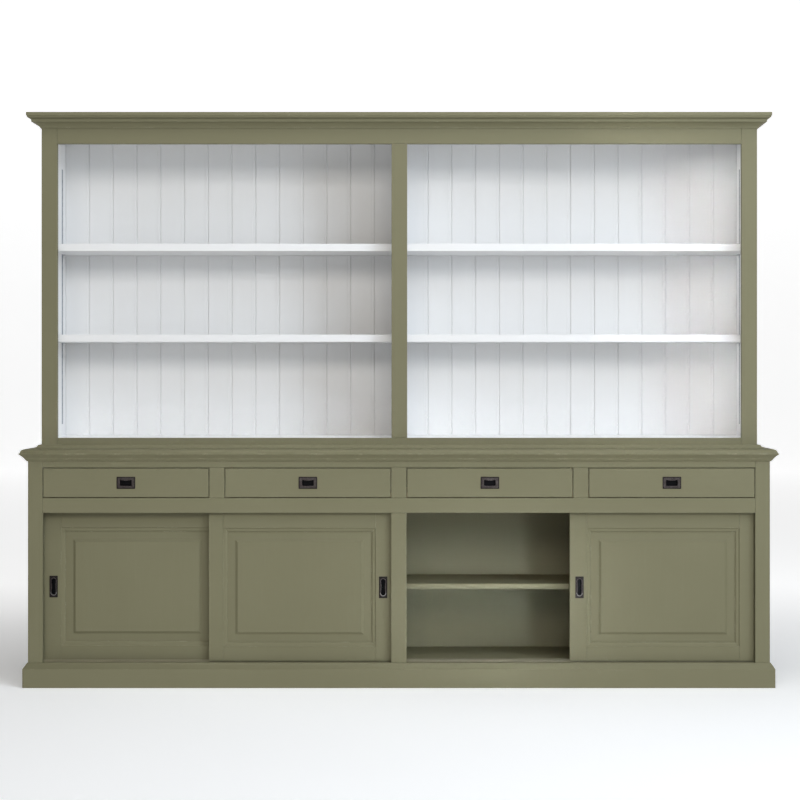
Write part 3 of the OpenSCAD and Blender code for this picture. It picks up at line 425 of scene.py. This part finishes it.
def studio_floor():
    """A pale floor that curves up into a backdrop far behind the cabinet."""
    curve_y = BACKDROP_Y - CURVE_RADIUS
    profile = [(STUDIO_FRONT, 0.0), (curve_y, 0.0)]
    for k in range(1, CURVE_STEPS + 1):
        a = math.radians(90.0 * k / CURVE_STEPS)
        y = curve_y + CURVE_RADIUS * math.sin(a)
        z = CURVE_RADIUS - CURVE_RADIUS * math.cos(a)
        profile.append((y, z))
    profile.append((BACKDROP_Y, BACKDROP_HEIGHT))
    verts = [(s * STUDIO_HALF_W, y, z) for y, z in profile for s in (-1, 1)]
    faces = [(2 * k, 2 * k + 1, 2 * k + 3, 2 * k + 2) for k in range(len(profile) - 1)]
    mesh = bpy.data.meshes.new("studio_floor")
    mesh.from_pydata(verts, [], faces)
    for p in mesh.polygons:
        p.use_smooth = True
    floor = bpy.data.objects.new("studio_floor", mesh)
    bpy.context.collection.objects.link(floor)
    m, tree, shader, coords = new_material("studio_floor")
    cloud = noise(tree, coords, STUDIO_CLOUD)
    plug(tree, shader.inputs["Base Color"], blend(tree, cloud, STUDIO_GREY, STUDIO_PALE))
    shader.inputs["Roughness"].default_value = STUDIO_ROUGH
    shader.inputs["Specular IOR Level"].default_value = STUDIO_SPECULAR
    shader.inputs["Emission Color"].default_value = (1, 1, 1, 1)
    depth = add(tree, "SeparateXYZ", {"Vector": coords}).outputs["Y"]
    near = times(tree, step_up(tree, depth, GLOW_NEAR_Y), GLOW_NEAR)
    back = times(tree, step_up(tree, depth, GLOW_BACK_Y), GLOW_FAR - GLOW_NEAR)
    front = times(tree, step_up(tree, depth, GLOW_FRONT_Y), GLOW_FAR)
    glow = maths(tree, "ADD", maths(tree, "ADD", near, back), front)
    plug(tree, shader.inputs["Emission Strength"], glow)
    mesh.materials.append(m)


def soft_light(name, place, aim, size, power, colour, spread):
    light = bpy.data.lights.new(name, "AREA")
    light.shape = "RECTANGLE"
    light.size, light.size_y = size
    light.energy = power
    light.color = colour
    light.spread = math.radians(spread)
    obj = bpy.data.objects.new(name, light)
    obj.location = place
    obj.rotation_euler = (Vector(aim) - Vector(place)).to_track_quat("-Z", "Y").to_euler()
    obj.visible_camera = False
    bpy.context.collection.objects.link(obj)


MIDDLE = (0.0, 0.0, 1.1)
COOL = (0.90, 1.0, 1.11)
PURE = (1.0, 1.0, 1.0)
WARM = (1.045, 1.0, 0.94)
WIDE = 180.0
# Each light's name, place, aim, width and height in metres, watts, colour and spread in degrees
LIGHTS = (
    ("key", (5.2, -5.2, 2.6), MIDDLE, (2.0, 2.0), 152.0, COOL, WIDE),
    ("top_key", (2.2, -3.5, 3.8), MIDDLE, (2.0, 1.5), 58.0, COOL, WIDE),
    ("overhead", (0.0, -1.1, 4.3), MIDDLE, (3.4, 1.0), 27.0, PURE, WIDE),
    ("over_front", (0.9, -4.0, 7.0), MIDDLE, (5.6, 1.7), 112.0, PURE, WIDE),
    ("fill", (0.0, -10.0, 4.35), MIDDLE, (5.0, 2.2), 310.0, WARM, WIDE),
    # Narrow beams lift the left end of the base,
    ("left_beam_0", (0.35, -3.4, 2.7), (-1.15, -0.22, 0.42), (0.5, 0.5), 0.23, COOL, 24.0),
    ("left_beam_1", (1.05, -3.4, 2.7), (-0.45, -0.22, 0.42), (0.5, 0.5), 0.23, COOL, 24.0),
    # the inside of the open bay, from the right and from the left,
    ("bay_beam", (1.6, -3.6, 0.35), (0.25, 0.2, 0.42), (0.6, 0.3), 0.24, COOL, 16.0),
    ("low_beam", (1.6, -3.6, 0.30), (0.22, 0.2, 0.30), (0.6, 0.2), 0.40, COOL, 12.0),
    ("bay_left", (-1.5, -5.0, 0.55), (0.47, 0.2, 0.31), (0.1, 0.45), 0.08, COOL, 5.5),
    # the bottom of the hutch, and its right end
    ("rail_band", (0.0, -7.0, 1.5), (0.0, -0.1, 0.94), (4.6, 0.08), 0.35, PURE, 3.5),
    ("right_beam", (-3.4, -5.0, 1.58), (1.30, 0.24, 1.58), (0.15, 1.3), 0.53, PURE, 5.0),
)

studio_floor()
for light in LIGHTS:
    soft_light(*light)

# The sky is white to the camera, for views that look past the floor, and lights nothing
world = bpy.data.worlds.new("studio")
world.use_nodes = True
background = world.node_tree.nodes["Background"]
background.inputs["Color"].default_value = (1.0, 1.0, 1.0, 1.0)
background.inputs["Strength"].default_value = 1.0
sees = world.cycles_visibility
sees.diffuse = sees.glossy = sees.transmission = sees.scatter = False
bpy.context.scene.world = world

# The camera stands in front of the cabinet, level, a little to the right of its middle and at
# chest height. The small shifts put the picture's middle back on the cabinet.
CAMERA_PLACE = (0.1568, -7.72, 1.181)
LEVEL = (math.pi / 2, 0.0, 0.0)
LENS_MM = 88.44
SENSOR_MM = 36.0
SHIFT = (-0.05, -0.0275)
camera = bpy.data.cameras.new("camera")
camera.lens = LENS_MM
camera.sensor_width = SENSOR_MM
camera.shift_x, camera.shift_y = SHIFT
camera_obj = bpy.data.objects.new("camera", camera)
camera_obj.location = CAMERA_PLACE
camera_obj.rotation_euler = LEVEL
bpy.context.collection.objects.link(camera_obj)
bpy.context.scene.camera = camera_obj
bpy.context.scene.view_settings.view_transform = "Standard"
